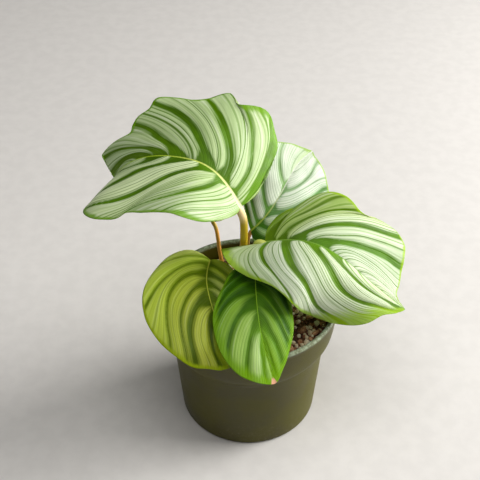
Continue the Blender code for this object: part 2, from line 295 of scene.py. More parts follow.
# A dark stripe is its vein's place at the midrib, then at even steps out to the margin, and last half its
# width, which may be a row of widths from midrib to margin. One thinner than VEINLET is a fine line in a pale
# band, and taper is the share of its width that a wide one loses at the margin. fine is the strength of the
# strokes and lines in the bands, and soft the width of the bands' feathered edges. flank is how far from the
# midrib the pale bands come to their points, and margin the width of the green margin. These two, and the
# colours, go from base to tip in even steps. rib is half the midrib's width at base and tip, green the
# margin's colour, rim the thin edge's, and relief the height of the quilting. dry_tip is the vein where a dry
# tip starts, and its colour. Colours are 8-bit sRGB.
LOOKS = {}
LOOKS["upper_left"] = dict(
    slot="leaf_striped",
    stripes=([
        (0.09, 0.19, 0.23, 0.35),
        (0.2, 0.25, 0.28, 0.5),
        (0.335, 0.33, 0.34, 0.38, 0.42, 1.5),
        (0.43, 0.53, 0.585, 0.64, 0.7, 2.2),
        (0.6, 0.715, 0.75, 0.765, 0.77, 2.1),
        (0.74, 0.87, 0.93, 1.2),
    ], [
        (0.01, 0.06, 0.075, 0.085, 0.1, (2, 5.2, 9.5, 19, 38)),
        (0.1, 0.152, 0.215, 0.5),
        (0.185, 0.23, 0.237, 1.5),
        (0.27, 0.296, 0.3, 0.3),
        (0.325, 0.362, 0.356, 2.6),
        (0.4, 0.42, 0.43, 0.3),
        (0.45, 0.485, 0.5, 0.515, 0.525, 2.8),
        (0.54, 0.573, 0.585, 0.55),
        (0.63, 0.665, 0.645, 2.3),
        (0.71, 0.79, 0.8, 1.8),
        (0.8, 0.89, 0.93, 1.2),
    ]),
    fine=1.0,
    soft=1.0,
    taper=0.4,
    flank=((0.5, 4, 7, 8, 6), (0.5, 5, 10, 11, 8)),
    margin=([
        6.0, 6.0, 5.0, 3.4, 1.8, 2.4, 2.8, 3.0, 2.0, 1.4, 2.0,
    ], [
        2.2, 2.6, 4.8, 1.2, 2.2, 1.6, 1.0, 2.4, 1.6, 1.2, 2.0,
    ]),
    rib=(1.7, 0.4),
    rib_colours=((244, 240, 204), (226, 230, 160), (196, 210, 96), (164, 194, 46), (140, 176, 50)),
    pale=([
        (140, 176, 70), (196, 214, 168), (190, 209, 158), (180, 201, 142), (214, 230, 178),
        (210, 227, 174), (202, 221, 168), (182, 207, 136),
    ], [
        (170, 196, 110), (186, 206, 150), (184, 204, 152), (180, 201, 144), (178, 200, 142),
        (176, 196, 142), (178, 198, 152), (156, 180, 120),
    ]),
    dark=([
        (98, 148, 4), (84, 128, 0), (74, 114, 0), (74, 112, 0),
    ], [
        (100, 148, 0), (82, 124, 0), (74, 114, 0), (78, 114, 2), (92, 124, 26),
    ]),
    green=(106, 156, 0),
    rim=(206, 220, 150),
    relief=0.45,
)
LOOKS["right"] = dict(
    slot="leaf_striped",
    stripes=([
        (0.05, 0.1, 0.12, 5.0),
        (0.14, 0.225, 0.197, 0.7),
        (0.21, 0.27, 0.255, 1.5),
        (0.27, 0.34, 0.37, 0.4),
        (0.32, 0.4, 0.455, 0.485, 0.5, 2.4),
        (0.415, 0.5, 0.535, 0.56, 0.575, 0.5),
        (0.47, 0.555, 0.6, 0.635, 0.67, 2.3),
        (0.56, 0.7, 0.82, 0.45),
        (0.64, 0.77, 0.88, 0.35),
        (0.74, 0.85, 0.93, 0.35),
    ], [
        (0.04, 0.09, 0.16, 0.35),
        (0.1, 0.18, 0.3, 1.6),
        (0.18, 0.26, 0.45, 0.35),
        (0.26, 0.3, 0.345, 0.45, 0.6, 3.0),
        (0.345, 0.405, 0.485, 0.635, 0.78, 0.6),
        (0.43, 0.52, 0.62, 0.79, 0.91, 3.3),
        (0.49, 0.64, 0.75, 0.86, 0.94, 0.4),
        (0.55, 0.71, 0.885, 0.94, 0.975, 3.3),
    ]),
    fine=1.0,
    soft=1.0,
    taper=0.0,
    flank=((2, 5, 8, 8, 5), (0.5, 1.5, 4, 5, 4)),
    margin=((3, 3.5, 3.5, 2, 1, 1, 2, 1.5, 1, 1, 1), (5.5, 4, 2, 2, 3.5, 6.5, 9, 9, 7, 4.5, 2)),
    rib=(0.5, 0.3),
    rib_colours=((150, 184, 84), (120, 160, 60), (110, 150, 60), (120, 160, 80)),
    # Painted light: on the left half the pale bands are darker at the base, which is painted shade, and
    # whitest near the tip, which is a painted sheen.
    pale=([
        (110, 144, 34), (132, 164, 62), (178, 198, 124), (206, 220, 182), (194, 210, 172),
        (200, 214, 182), (226, 236, 208), (204, 222, 166),
    ], [
        (190, 212, 150), (206, 221, 184), (220, 231, 204), (210, 222, 192), (198, 212, 174),
        (200, 213, 176), (206, 218, 186), (196, 214, 164),
    ]),
    dark=([
        (100, 136, 0), (92, 130, 0), (80, 120, 4), (84, 130, 20), (96, 140, 34), (118, 156, 56),
    ], [
        (106, 150, 24), (96, 138, 28), (92, 132, 28), (86, 128, 10), (96, 142, 4),
    ]),
    green=(146, 184, 0),
    rim=(196, 210, 120),
    relief=0.5,
)
LOOKS["lower_left"] = dict(
    slot="leaf_yellow_green",
    stripes=([
        (0.12, 0.2, 0.25, 1.2),
        (0.27, 0.34, 0.48, 1.4),
        (0.385, 0.5, 0.62, 1.3),
        (0.515, 0.61, 0.72, 1.6),
        (0.66, 0.76, 0.85, 1.0),
    ], [
        (0.02, 0.08, 0.1, 0.9),
        (0.12, 0.225, 0.275, 1.3),
        (0.18, 0.28, 0.4, 0.3),
        (0.27, 0.34, 0.55, 1.4),
        (0.33, 0.42, 0.61, 0.3),
        (0.385, 0.505, 0.67, 1.2),
        (0.515, 0.6, 0.72, 2.8),
        (0.62, 0.7, 0.82, 0.4),
        (0.7, 0.8, 0.9, 1.3),
    ]),
    fine=0.35,
    soft=1.9,
    taper=0.2,
    flank=((3, 8, 7), (2, 8, 9, 6)),
    margin=((2,), (1.6, 1.6, 2.2, 2.6, 2.2, 2.6)),
    rib=(0.5, 0.3),
    rib_colours=((176, 182, 60), (170, 178, 60), (164, 172, 70)),
    # Painted light: on the right half the pale and dark colours are lighter at the base, as a painted
    # highlight. The blade's yellow-green is partly its own colour and partly painted light shining through
    # it.
    pale=([
        (150, 170, 40), (150, 168, 40), (180, 194, 100), (166, 178, 60), (160, 172, 40),
    ], [
        (236, 250, 130), (210, 234, 86), (172, 190, 60), (162, 174, 56), (170, 180, 66),
        (156, 172, 34), (152, 176, 12),
    ]),
    dark=([
        (88, 112, 0), (80, 106, 0), (84, 108, 0), (92, 116, 0),
    ], [
        (146, 178, 8), (108, 138, 0), (88, 110, 0), (76, 98, 0), (68, 90, 0), (100, 122, 0),
    ]),
    green=(146, 168, 6),
    rim=(190, 196, 80),
    relief=0.5,
)
LOOKS["front"] = dict(
    slot="leaf_deep_green",
    stripes=([
        (0.06, 0.1, 0.14, 4.5),
        (0.2, 0.26, 0.34, 4.0),
        (0.38, 0.44, 0.5, 2.6),
        (0.46, 0.52, 0.58, 2.4),
        (0.64, 0.69, 0.74, 2.6),
        (0.76, 0.87, 0.91, 1.6),
    ], [
        (0.06, 0.1, 0.14, 4.5),
        (0.2, 0.26, 0.3, 4.0),
        (0.38, 0.36, 0.36, 2.5),
        (0.5, 0.51, 0.52, 2.2),
        (0.66, 0.68, 0.67, 1.8),
        (0.8, 0.84, 0.86, 2.0),
    ]),
    fine=0.45,
    soft=2.3,
    taper=0.0,
    flank=((11, 13, 11, 5, 3), (11, 13, 11, 5, 3)),
    margin=((5, 5, 4, 3, 3, 3), (5, 7, 8, 7, 5, 3)),
    rib=(0.45, 0.25),
    rib_colours=((170, 204, 50), (150, 188, 50), (120, 164, 30), (110, 154, 10)),
    pale=([
        (54, 100, 0), (60, 106, 0), (92, 136, 14), (116, 154, 36), (128, 166, 62), (112, 154, 20),
        (110, 152, 8),
    ], [
        (56, 104, 0), (64, 112, 0), (94, 142, 12), (138, 176, 60), (150, 182, 92), (168, 194, 126),
        (118, 158, 26),
    ]),
    dark=2 * ([
        (44, 88, 0), (46, 92, 0), (54, 100, 0), (72, 118, 0), (90, 136, 0), (102, 146, 0),
    ],),
    green=(108, 154, 4),
    dry_tip=(0.92, (214, 160, 128)),
    rim=(220, 196, 150),
    relief=0.4,
)
LOOKS["rear_right"] = dict(
    slot="leaf_silvery",
    stripes=([
        (0.03, 0.06, 0.08, 3.0),
        (0.19, 0.245, 0.27, 1.3),
        (0.37, 0.425, 0.43, 1.5),
        (0.65, 0.635, 0.61, 0.9),
        (0.76, 0.83, 0.88, 0.5),
    ], [
        (0.03, 0.1, 0.2, 3.5),
        (0.2, 0.26, 0.34, 1.6),
        (0.38, 0.47, 0.56, 2.0),
        (0.54, 0.61, 0.66, 0.5),
        (0.61, 0.69, 0.83, 0.9),
        (0.78, 0.86, 0.93, 0.4),
    ]),
    fine=0.6,
    soft=1.7,
    taper=0.4,
    flank=((2, 3, 2, 0.5), (2, 4, 2, 0.5)),
    margin=((2.4, 1.4, 1.0, 2.2), (2.4, 1.4, 1.0, 1.2)),
    rib=(0.8, 0.4),
    rib_colours=((150, 176, 40), (176, 196, 90), (214, 220, 200), (226, 230, 222)),
    # Painted light: the pale bands are whitened as a painted sheen, and the right half is darker at its base
    # as painted shade.
    pale=([
        (214, 232, 190), (240, 248, 230), (240, 247, 230), (220, 231, 208), (210, 224, 196),
        (190, 214, 150),
    ], [
        (110, 156, 66), (166, 200, 136), (214, 228, 200), (226, 235, 216), (230, 238, 220),
        (214, 228, 198),
    ]),
    dark=([
        (84, 136, 8), (84, 140, 24), (112, 160, 76), (136, 174, 108), (150, 186, 120),
    ], [
        (50, 98, 0), (64, 118, 20), (108, 156, 84), (140, 176, 120), (150, 186, 124),
    ]),
    green=(150, 188, 70),
    rim=(210, 225, 150),
    relief=0.4,
)
LOOKS["rear_left"] = dict(
    slot="leaf_striped",
    stripes=([
        (0.08, 0.14, 0.18, 1.0),
        (0.28, 0.36, 0.44, 1.3),
        (0.5, 0.6, 0.7, 1.3),
        (0.72, 0.82, 0.9, 0.9),
    ], [
        (0.08, 0.14, 0.18, 1.0),
        (0.3, 0.38, 0.46, 1.3),
        (0.52, 0.62, 0.72, 1.3),
        (0.74, 0.84, 0.91, 0.9),
    ]),
    fine=0.7,
    soft=1.2,
    taper=0.3,
    flank=((3, 5, 4), (3, 5, 4)),
    margin=((1.5,), (1.5,)),
    rib=(0.6, 0.3),
    rib_colours=((200, 208, 120), (160, 190, 70)),
    pale=2 * ([
        (176, 200, 140), (180, 204, 144), (170, 196, 130),
    ],),
    dark=(((80, 126, 4), (76, 122, 4)), ((80, 126, 4), (76, 122, 4))),
    green=(112, 154, 20),
    rim=(196, 210, 120),
    relief=0.35,
)

# The stalk's colour at its foot, below the joint and at the joint, and on the rib under the blade.
STALK_COLOURS = {
    # The upper-left joint is lighter than its own peach: partly a painted highlight, lifted further against
    # the shadow its blade casts on it.
    "upper_left": ((132, 132, 0), (206, 176, 30), (255, 226, 168), (196, 200, 120)),
    "right": ((110, 130, 30), (140, 160, 40), (196, 206, 96), (176, 196, 120)),
    "lower_left": ((96, 110, 20), (150, 140, 40), (186, 160, 90), (160, 170, 80)),
    "front": ((96, 116, 20), (120, 140, 30), (140, 160, 40), (140, 170, 70)),
    "rear_right": ((110, 100, 20), (160, 130, 40), (196, 140, 70), (180, 196, 140)),
    "rear_left": ((228, 158, 46), (250, 180, 78), (206, 170, 56), (150, 170, 60)),
}


# The form of a blade
def through(values, along):
    """A smooth curve through evenly spaced values, read at along, 0 to 1."""
    values = np.asarray(values, float)
    along = np.clip(np.asarray(along, float), 0, 1)
    if len(values) == 1:
        return np.full_like(along, values[0])
    padded = np.concatenate([[values[1]], values, [values[-2]]])
    place = along * (len(values) - 1)
    first = np.minimum(place.astype(int), len(values) - 2)
    part = place - first
    a, b, c, d = (padded[first + step] for step in range(4))
    bend = 2 * a - 5 * b + 4 * c - d
    return 0.5 * (2 * b + (c - a) * part + bend * part**2 + (3 * b - a - 3 * c + d) * part**3)


def midrib(leaf):
    """Distance along the midrib, and the point, forward, sideways and upward directions there."""
    share = np.linspace(-LOBE_REACH, 1, MIDRIB_POINTS)
    behind = np.clip(-share / LOBE_REACH, 0, 1) ** LOBE_BEND
    pitch = through(leaf["pitch"], share) + (leaf["back"][0] - leaf["pitch"][0]) * behind
    heading = through(leaf["heading"], share) + (leaf["back"][1] - leaf["heading"][0]) * behind
    pitch, heading = np.radians(pitch), np.radians(heading)
    roll = np.radians(through(leaf["roll"], share))[:, None]
    level = np.cos(pitch)
    forward = np.stack([level * np.cos(heading), level * np.sin(heading), np.sin(pitch)], -1)
    side = np.stack([-np.sin(heading), np.cos(heading), 0 * heading], -1)
    side = side * np.cos(roll) + np.cross(forward, side) * np.sin(roll)
    step = leaf["length"] * (share[1] - share[0])
    moved = np.cumsum((forward[1:] + forward[:-1]) / 2 * step, axis=0)
    point = np.concatenate([np.zeros((1, 3)), moved])
    at_base = np.stack([np.interp(0, share, point[:, axis]) for axis in range(3)])
    point = point - at_base + np.array(leaf["base"])
    return share * leaf["length"], point, forward, side, np.cross(forward, side)


def read_midrib(leaf, distance):
    place, *tracks = midrib(leaf)
    return [
        np.stack([np.interp(distance, place, track[:, axis]) for axis in range(3)], -1)
        for track in tracks
    ]


def flat_blade(leaf, half, vein, out):
    """Distance along and away from the midrib of the flat blade, at a vein and a share of its length."""
    length, lobe, wide = leaf["length"], leaf["lobe"][half], leaf["widest"][half]
    turn = leaf["start"][half] + (math.pi - leaf["start"][half]) * vein ** leaf["spread"][half]
    cosine, sine = np.cos(turn), np.abs(np.sin(turn))
    edge = through(leaf["edge"][half], vein)
    rear = -(wide + lobe) * cosine
    fore = -(1 - wide) * cosine
    margin_along = (wide + np.where(cosine > 0, rear, fore) * np.where(vein < 1, edge, 1)) * length
    margin_out = leaf["width"][half] * np.where(cosine > 0, sine**REAR_ROUND, sine**FORE_ROUND) * edge
    foot = LAST_VEIN * length * vein**VEIN_CROWDING
    middle = foot + VEIN_AHEAD * (margin_along - foot)
    middle = middle - VEIN_SET_BACK * length * (1 - vein)
    middle = middle - VEIN_IN_LOBE * lobe * length * (1 - vein) ** 4
    along = (1 - out) ** 2 * foot + 2 * out * (1 - out) * middle + out**2 * margin_along
    away = 2 * out * (1 - out) * VEIN_OUT * margin_out + out**2 * margin_out
    return along, away


def blade_surface(leaf, half, vein, out):
    """Points of the bent and waved blade at arrays of vein and out, and their distance from the midrib."""
    along, away = flat_blade(leaf, half, vein, out)
    point, _, side, up = read_midrib(leaf, along)
    share = np.clip(along / leaf["length"], 0, 1)
    lift = np.radians(through(leaf["lift"][half], share))
    curl = np.radians(through(leaf["curl"][half], share)) / leaf["width"][half]
    curl = np.maximum(curl, LEAST_CURL)
    sideways = (np.sin(lift) - np.sin(lift - curl * away)) / curl
    upward = (np.cos(lift - curl * away) - np.cos(lift)) / curl
    upward = upward + through(leaf["rise"][half], vein) * out**EDGE_RISE
    sign = 1 if half == 0 else -1
    return point + side * (sign * sideways)[..., None] + up * upward[..., None], away


def out_places():
    """Places across one half, close together at the midrib's groove and at the margin."""
    near = [0, 0.012, 0.028, 0.05, 0.08]
    return np.concatenate([near, np.linspace(0.12, 0.94, 20), [0.965, 0.985, 1.0]])


def stripe_fields(look, half, vein, out, points, away):
    """Millimetres to the edge of the nearest dark stripe, less than 0 inside it, the vein's own course, and
    the distance to the margin as a share of the plain margin's width."""
    per_vein = np.linalg.norm(np.gradient(points, vein[:, 0], axis=0), axis=-1)
    behind, ahead = np.full(vein.shape, FAR), np.full(vein.shape, FAR)
    courses, labels = [0 * out[0]], [0.0]
    for *course, half_width in look["stripes"][half]:
        place = through(course, out[0])
        if np.max(half_width) > VEINLET:
            width = through(np.atleast_1d(half_width), out[0]) * (1 - look["taper"] * out[0] ** 3)
            past = (vein - place) * per_vein
            behind = np.minimum(behind, np.where(past > 0, past - width, FAR))
            ahead = np.minimum(ahead, np.where(past <= 0, -past - width, FAR))
        courses.append(place)
        labels.append(float(through(course, 0.5)))
    courses.append(0 * out[0] + 1)
    labels.append(1.0)
    courses = np.maximum.accumulate(np.array(courses), axis=0)
    own = np.stack(
        [np.interp(vein[:, column], courses[:, column], labels) for column in range(vein.shape[1])], 1
    )
    half_band = (np.minimum(behind, vein * per_vein) + np.minimum(ahead, (1 - vein) * per_vein)) / 2
    half_band = np.minimum(half_band, WIDEST_BAND)
    closing = BAND_POINT * half_band * np.clip(1 - away / through(look["flank"][half], vein), 0, 1) ** 1.3
    edge = np.minimum(behind, ahead) - closing
    steps = np.linalg.norm(np.diff(points, axis=1), axis=-1)
    to_margin = np.concatenate([np.cumsum(steps[:, ::-1], axis=1)[:, ::-1], 0 * steps[:, :1]], axis=1)
    return edge, own + RIGHT_HALF * half, to_margin / through(look["margin"][half], vein)


def half_blade(leaf, look, half):
    """One half's grids: points, vein, out, distance from the midrib, stripe edge, course, margin share."""
    rows = np.linspace(0, 1, BLADE_ROWS + 1)
    vein, out = np.meshgrid(rows, out_places(), indexing="ij")
    points, away = blade_surface(leaf, half, vein, out)
    return points, vein, out, away, *stripe_fields(look, half, vein, out, points, away)


def unit(vectors):
    return vectors / np.maximum(np.linalg.norm(vectors, axis=-1, keepdims=True), 1e-9)


def pleated(points, edge, away, out, vein, relief):
    """The blade with its quilting between the stripes and the groove of its midrib."""
    normal = unit(np.cross(np.gradient(points, axis=1), np.gradient(points, axis=0)))
    crown = np.tanh(edge / QUILT_EDGE)
    held = (1 - np.exp(-away / QUILT_START)) * (1 - np.abs(out) ** 8) * (1 - vein**12)
    ripple = np.sin(vein * 23 + np.abs(out) * 5) * np.sin(vein * 9 - out * 7)
    height = (relief * crown + RIPPLE_HEIGHT * ripple) * held
    height = height - GROOVE_DEPTH * np.exp(-((away / GROOVE_WIDTH) ** 2)) * (1 - vein**12)
    return points + normal * height[..., None]


def build_blade(name, leaf, look, materials):
    """The blade's grid, pleated, with its veins' places in three UV maps, thickened alike on both faces."""
    left, right = half_blade(leaf, look, 0), half_blade(leaf, look, 1)
    points, vein, out, away, edge, _, margin = (
        np.concatenate([first[:, :0:-1], second], axis=1) for first, second in zip(left, right)
    )
    middle = len(out_places()) - 1
    out = np.concatenate([-out[:, :middle], out[:, middle:]], axis=1)
    points = pleated(points, edge, away, out, vein, look["relief"]) * MM
    rows, columns = out.shape
    index = np.arange(rows * columns).reshape(rows, columns)
    index[-1, middle + 1 :] = index[-1, :middle][::-1]
    faces, corners = [], []
    for row in range(rows - 1):
        for column in range(columns - 1):
            places = [(row, column), (row, column + 1), (row + 1, column + 1), (row + 1, column)]
            faces.append([int(index[place]) for place in places])
            corners.append((places, 0 if column < middle else 1))
    mesh = bpy.data.meshes.new(name)
    mesh.from_pydata(points.reshape(-1, 3).tolist(), [], faces)
    halves = [left, right]
    leaf_map = mesh.uv_layers.new(name="leaf").data
    stripe_map = mesh.uv_layers.new(name="stripe").data
    reach_map = mesh.uv_layers.new(name="reach").data
    loop = 0
    for places, half in corners:
        for row, column in places:
            at = abs(column - middle)
            leaf_map[loop].uv = (vein[row, column], out[row, column])
            stripe_map[loop].uv = (halves[half][4][row, at], halves[half][5][row, at])
            reach_map[loop].uv = (away[row, column], margin[row, column])
            loop += 1
    blade = new_piece(f"blade_{name}", mesh, materials)
    drop_loose(mesh)
    solid = blade.modifiers.new("thickness", "SOLIDIFY")
    solid.thickness = BLADE_THICKNESS * MM
    solid.offset = 0
    solid.material_offset = 1
    solid.material_offset_rim = 2
    return blade


def drop_loose(mesh):
    """Removes the points that the welded tip leaves without a face."""
    cleaned = bmesh.new()
    cleaned.from_mesh(mesh)
    loose = [vertex for vertex in cleaned.verts if not vertex.link_faces]
    bmesh.ops.delete(cleaned, geom=loose, context="VERTS")
    cleaned.to_mesh(mesh)
    cleaned.free()


def new_piece(name, mesh, materials):
    obj = bpy.data.objects.new(name, mesh)
    bpy.context.scene.collection.objects.link(obj)
    for material in materials:
        mesh.materials.append(material)
    mesh.polygons.foreach_set("use_smooth", [True] * len(mesh.polygons))
    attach(obj, "root")
    return obj


# Stalks
def stalk_path(leaf):
    """Points, radii and places of a stalk and its rib: 0 at the foot, 1 at the blade, 2 at the rib's end."""
    foot, top = leaf["thick"]
    rib = np.linspace(0, RIB_REACH, RIB_RINGS)
    rib_radii = RIB_TIP + (top - RIB_TIP) * (1 - rib / RIB_REACH) ** 0.8
    point, _, _, up = read_midrib(leaf, rib * leaf["length"])
    rib_points = point - up * (rib_radii + GROOVE_DEPTH - 0.1)[:, None]
    knots = np.array([*leaf["stalk"], rib_points[0]])
    share = np.linspace(0, 1, STALK_RINGS + 1)[:-1]
    stalk_points = np.stack([through(knots[:, axis], share) for axis in range(3)], -1)
    swell = 1 + JOINT_SWELL * np.exp(-(((share - 0.9) / 0.09) ** 2))
    stalk_radii = (foot + (top - foot) * share) * swell
    points = np.concatenate([stalk_points, rib_points])
    places = np.concatenate([share, 1 + rib / RIB_REACH])
    return points, np.concatenate([stalk_radii, rib_radii]), places


def rings_along(points, radii, sides):
    """Rings round a path, without twist."""
    tangents = unit(np.gradient(points, axis=0))
    across = unit(np.cross(tangents[0], (0.3, 1.0, 0.2)))
    turn = np.linspace(0, 2 * math.pi, sides, endpoint=False)
    rings = []
    for point, tangent, radius in zip(points, tangents, radii):
        across = unit(across - tangent * np.dot(across, tangent))
        other = np.cross(tangent, across)
        offsets = np.outer(np.cos(turn), across) + np.outer(np.sin(turn), other)
        rings.append(point + offsets * radius)
    return np.array(rings)


def tube_mesh(name, points, radii, places, sides):
    """A closed tube with the UV map "stalk": the place along it, and round it."""
    rings = rings_along(points, radii, sides)
    count = len(rings)
    vertices = np.concatenate([rings.reshape(-1, 3), points[:1], points[-1:]]) * MM
    faces, corners = [], []
    for ring in range(count - 1):
        for side in range(sides):
            after = (side + 1) % sides
            start = ring * sides
            faces.append((start + side, start + after, start + sides + after, start + sides + side))
            low, high = places[ring], places[ring + 1]
            spots = (side, side + 1, side + 1, side)
            corners += [(place, spot / sides) for place, spot in zip((low, low, high, high), spots)]
    for end, hub in ((0, count * sides), (count - 1, count * sides + 1)):
        for side in range(sides):
            pair = (end * sides + side, end * sides + (side + 1) % sides)
            faces.append((hub, *(pair if end else pair[::-1])))
            corners += [(places[end], 0.5)] * 3
    mesh = bpy.data.meshes.new(name)
    mesh.from_pydata(vertices.tolist(), [], faces)
    layer = mesh.uv_layers.new(name="stalk")
    layer.data.foreach_set("uv", np.array(corners).ravel())
    return mesh


def build_stalk(name, leaf, material):
    points, radii, places = stalk_path(leaf)
    mesh = tube_mesh(name, points, radii, places, STALK_SIDES)
    return new_piece(f"stalk_{name}", mesh, [material])


# Pot
def arc(centre, radius, first, last, steps):
    """Points of a profile's rounded corner, between two directions in degrees."""
    turns = np.radians(np.linspace(first, last, steps))
    return [(centre[0] + radius * math.cos(t), centre[1] + radius * math.sin(t)) for t in turns]


def pot_profile():
    inside = [(0, FLOOR), (20, FLOOR), (40.0, FLOOR)]
    inside += arc((41.1, FLOOR + 1.7), 1.7, -90, -8, 6)
    inside += [(44.6, 25.0), (46.5, 47.0), (47.6, NECK - 1.2), (47.9, NECK + 0.4), (49.0, 62.7)]
    inside += [(50.8, 65.7), (51.7, 67.9), (52.4, 70.2), (52.9, 72.2), (53.3, 78.0), (53.9, 87.2)]
    lip = arc((LIP_RADIUS - 1.5, POT_HEIGHT - 1.5), 1.5, 170, -40, 14)
    under_lip = [(56.5, 88.0), (56.25, 87.5)]
    collar = [(56.1, 85.5), (55.7, 81.0), (55.3, 77.0), (54.8, 73.0), (54.4, 70.5), (53.9, 68.2)]
    step = [(53.2, 66.5), (52.2, 64.6), (50.6, 62.3), (49.5, NECK + 0.4), (49.1, NECK - 1.4)]
    wall = [(47.6, 41.0), (46.1, 22.0), (44.65, 4.5)]
    foot = arc((BASE_RADIUS - 1.5, 2.1), 2.1, 0, -90, 9)
    return inside + lip + under_lip + collar + step + wall + foot + [(30, 0.0), (0, 0.0)]


def turned_mesh(name, profile, turns):
    """A profile of (radius, height), from axis to axis, turned about the pot's axis into a closed mesh."""
    rings = profile[1:-1]
    angles = np.linspace(0, 2 * math.pi, turns, endpoint=False)
    vertices = [(r * math.cos(a), r * math.sin(a), z) for r, z in rings for a in angles]
    first, last = len(vertices), len(vertices) + 1
    vertices += [(0, 0, profile[0][1]), (0, 0, profile[-1][1])]
    faces = []
    for side in range(turns):
        after = (side + 1) % turns
        faces.append((first, side, after))
        for ring in range(len(rings) - 1):
            low, high = ring * turns, (ring + 1) * turns
            faces.append((low + side, high + side, high + after, low + after))
        end = (len(rings) - 1) * turns
        faces.append((last, end + after, end + side))
    mesh = bpy.data.meshes.new(name)
    mesh.from_pydata((np.array(vertices) * MM).tolist(), [], faces)
    return mesh


def build_pot(material):
    pot = new_piece("pot_shell", turned_mesh("pot_shell", pot_profile(), POT_TURNS), [material])
    for number in range(DRAIN_COUNT):
        angle = 2 * math.pi * (number + 0.5) / DRAIN_COUNT
        drain = bmesh.new()
        bmesh.ops.create_cone(
            drain,
            cap_ends=True,
            segments=48,
            radius1=DRAIN_RADIUS * MM,
            radius2=DRAIN_RADIUS * MM,
            depth=4 * FLOOR * MM,
        )
        place = Vector((math.cos(angle), math.sin(angle), 0)) * DRAIN_CIRCLE * MM
        bmesh.ops.translate(drain, verts=drain.verts, vec=place)
        mesh = bpy.data.meshes.new("drain")
        drain.to_mesh(mesh)
        drain.free()
        cutter = bpy.data.objects.new("drain", mesh)
        bpy.context.scene.collection.objects.link(cutter)
        cut = pot.modifiers.new("drain", "BOOLEAN")
        cut.object = cutter
        cut.solver = "EXACT"
        bpy.context.view_layer.update()
        graph = bpy.context.evaluated_depsgraph_get()
        made = bpy.data.meshes.new_from_object(pot.evaluated_get(graph), depsgraph=graph)
        pot.modifiers.clear()
        pot.data = made
        bpy.data.objects.remove(cutter)
    pot.data.set_sharp_from_angle(angle=math.radians(50))
    return pot


# Potting mix
def soil_height(x, y):
    """The uneven top of the soil, level near the wall."""
    waves = 0.8 * math.sin(x / 6.5 + 0.4) * math.cos(y / 7.2 - 0.9)
    waves += 0.5 * math.sin(x / 3.3 - y / 4.1)
    return waves * min(1.0, max(0.0, (SOIL_RADIUS - 2 - math.hypot(x, y)) / 8))


def build_soil(material):
    """The bed of mix: a closed turned body whose top is rough."""
    top = [(radius, SOIL_TOP) for radius in np.linspace(0, SOIL_RADIUS - 1.0, 44)]
    edge = [(SOIL_RADIUS - 0.3, SOIL_TOP - 0.5), (SOIL_RADIUS, SOIL_TOP - 1.5)]
    wall = [(radius - WALL_GAP, height + WALL_GAP) for radius, height in reversed(INNER_WALL)]
    foot = [(41.2, FLOOR + WALL_GAP), (0, FLOOR + WALL_GAP)]
    profile = (top + edge + wall + foot)[::-1]
    mesh = turned_mesh("soil_bed", profile, SOIL_TURNS)
    for vertex in mesh.vertices:
        x, y, z = vertex.co / MM
        if z > SOIL_TOP - 0.2:
            rough = noise.fractal(Vector((x, y, 3.0)) / 2.4, 0.8, 2.0, 4)
            vertex.co.z += (soil_height(x, y) + 0.55 * rough) * MM
    mesh.flip_normals()
    return new_piece("soil_bed", mesh, [material])


def scattered(count, apart, reach, seeded, stems):
    """Seeded places on the soil, clear of the stalks and of each other."""
    placed, tries = [], 0
    while len(placed) < count and tries < TRIES * count:
        tries += 1
        distance = reach * math.sqrt(seeded.random())
        angle = seeded.uniform(0, 2 * math.pi)
        x, y = distance * math.cos(angle), distance * math.sin(angle)
        if any(math.hypot(x - stem[0], y - stem[1]) < STALK_CLEARANCE for stem in stems):
            continue
        if any(math.hypot(x - other[0], y - other[1]) < apart for other in placed):
            continue
        placed.append((x, y))
    return placed


def lump(mesh, place, sizes, turn, rough, detail, seed):
    """Adds one rough grain to a mesh, with its half sizes and its turn."""
    made = bmesh.ops.create_icosphere(mesh, subdivisions=detail, radius=1.0)["verts"]
    for vertex in made:
        bump = noise.noise(vertex.co * 1.4 + Vector((seed, 2 * seed, 0)))
        point = vertex.co * (1 + rough * bump)
        point = Vector(a * b for a, b in zip(point, sizes))
        point.rotate(turn)
        vertex.co = (point + Vector(place)) * MM


def build_grains(name, material, seeded, stems):
    """Many grains of one kind, joined as one piece, part sunk into the soil."""
    kind = GRAINS[name]
    mesh = bmesh.new()
    places = scattered(kind["count"], kind["apart"], SOIL_RADIUS - 3.0, seeded, stems)
    for number, (x, y) in enumerate(places):
        wide = seeded.uniform(*kind["size"])
        sizes = (wide, wide * seeded.uniform(0.6, 0.95), wide * seeded.uniform(*kind["flat"]))
        tilt = Vector((seeded.uniform(-1, 1), seeded.uniform(-1, 1), 2)).to_track_quat("Z", "X")
        height = SOIL_TOP + soil_height(x, y) + kind["raised"] * sizes[2]
        spin = Quaternion((0, 0, 1), seeded.uniform(0, 2 * math.pi))
        lump(mesh, (x, y, height), sizes, tilt @ spin, kind["rough"], kind["detail"], number * 1.7)
    data = bpy.data.meshes.new(name)
    mesh.to_mesh(data)
    mesh.free()
    return new_piece(name, data, [material])


